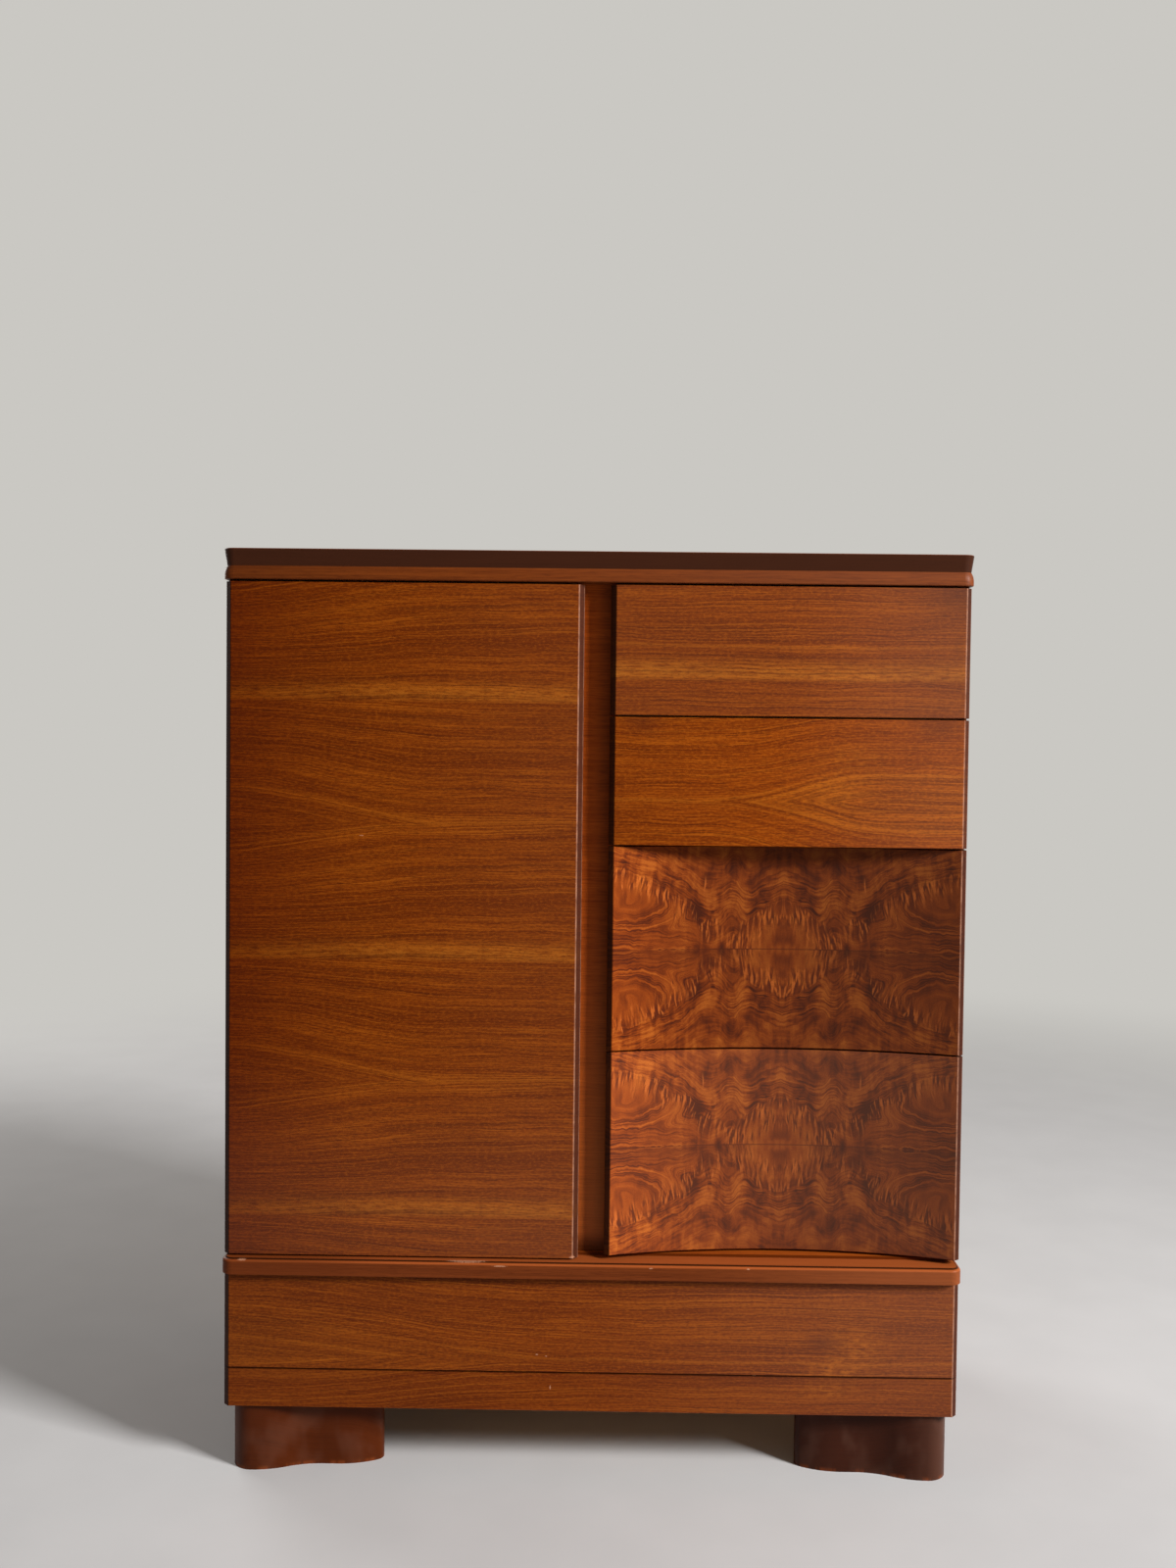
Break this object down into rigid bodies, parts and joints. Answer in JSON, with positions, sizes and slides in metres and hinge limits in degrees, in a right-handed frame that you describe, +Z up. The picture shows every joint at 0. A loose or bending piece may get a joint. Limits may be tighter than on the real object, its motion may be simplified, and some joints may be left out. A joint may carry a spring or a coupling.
{
  "type": "chifforobe",
  "caption": "Wardrobe compartment behind a tall plain door beside a stack of drawers, over a full-width base drawer on shaped feet; fronts are pulled from a recessed channel.",
  "frame": {"origin": "bottom centre of the bounding box: on the floor, midway across the width and the depth", "axes": "+Z up, -Y towards a person at the front, +X to that person's right"},
  "size_m": [1.023, 0.4832, 1.278],
  "materials": {
    "walnut_veneer": "satin lacquer, grain across",
    "burl_veneer": "satin lacquer, book-matched burl",
    "walnut_moulding": "satin lacquer",
    "stained_side": "satin lacquer over stain",
    "channel_wood": "satin lacquer",
    "inner_wood": "bare, smooth",
    "drawer_wood": "bare, smooth",
    "plywood": "bare",
    "hinge_brass": "dull, aged",
    "plated_steel": "dull plating"
  },
  "bodies": {
    "carcase": {"back_panel_drawers": "plywood", "back_panel_wardrobe": "plywood", "base_back": "plywood", "base_bottom": "inner_wood", "base_glides": "inner_wood", "base_side_left": "stained_side", "base_side_right": "stained_side", "case_bottom": "walnut_moulding", "case_side_left": "stained_side", "case_side_right": "stained_side", "channel_board": "channel_wood", "door_catch": "plated_steel", "drawer_rails": "inner_wood", "drawer_runners": "inner_wood", "foot_blocks": "inner_wood", "foot_front_left": "walnut_moulding", "foot_front_right": "walnut_moulding", "foot_rear_left": "stained_side", "foot_rear_right": "stained_side", "hanging_rod": "inner_wood", "hinge_leaves_case": "hinge_brass", "hinge_pins": "hinge_brass", "partition_left": "inner_wood", "partition_right": "inner_wood", "rim_rail_front": "walnut_moulding", "rim_rail_left": "walnut_moulding", "rim_rail_right": "walnut_moulding", "rod_brackets": "inner_wood", "subtop": "inner_wood", "top_board": "walnut_moulding", "waist_rail_front": "walnut_moulding", "waist_rails_side": "walnut_moulding"},
    "door": {"door_panel": "walnut_veneer", "hinge_leaves_door": "hinge_brass", "door_strike": "plated_steel"},
    "drawer_1": {"drawer_1_back": "drawer_wood", "drawer_1_bottom": "plywood", "drawer_1_front": "walnut_veneer", "drawer_1_side_left": "drawer_wood", "drawer_1_side_right": "drawer_wood"},
    "drawer_2": {"drawer_2_back": "drawer_wood", "drawer_2_bottom": "plywood", "drawer_2_front": "walnut_veneer", "drawer_2_side_left": "drawer_wood", "drawer_2_side_right": "drawer_wood"},
    "drawer_3": {"drawer_3_back": "drawer_wood", "drawer_3_bottom": "plywood", "drawer_3_front": "burl_veneer", "drawer_3_side_left": "drawer_wood", "drawer_3_side_right": "drawer_wood"},
    "drawer_4": {"drawer_4_back": "drawer_wood", "drawer_4_bottom": "plywood", "drawer_4_front": "burl_veneer", "drawer_4_side_left": "drawer_wood", "drawer_4_side_right": "drawer_wood"},
    "base_drawer": {"base_drawer_back": "drawer_wood", "base_drawer_bottom": "plywood", "base_drawer_front": "walnut_veneer", "base_drawer_side_left": "drawer_wood", "base_drawer_side_right": "drawer_wood"}
  },
  "joints": [
    {"name": "door_hinge", "type": "hinge", "parent": "carcase", "child": "door", "pos_m": [-0.508, -0.207, 0.77], "axis": [0, 0, -1], "range_deg": [0, 170]},
    {"name": "drawer_1_slide", "type": "slide", "parent": "carcase", "child": "drawer_1", "axis": [0, -1, 0], "range_m": [0, 0.36]},
    {"name": "drawer_2_slide", "type": "slide", "parent": "carcase", "child": "drawer_2", "axis": [0, -1, 0], "range_m": [0, 0.36]},
    {"name": "drawer_3_slide", "type": "slide", "parent": "carcase", "child": "drawer_3", "axis": [0, -1, 0], "range_m": [0, 0.36]},
    {"name": "drawer_4_slide", "type": "slide", "parent": "carcase", "child": "drawer_4", "axis": [0, -1, 0], "range_m": [0, 0.36]},
    {"name": "base_drawer_slide", "type": "slide", "parent": "carcase", "child": "base_drawer", "axis": [0, -1, 0], "range_m": [0, 0.36]}
  ]
}
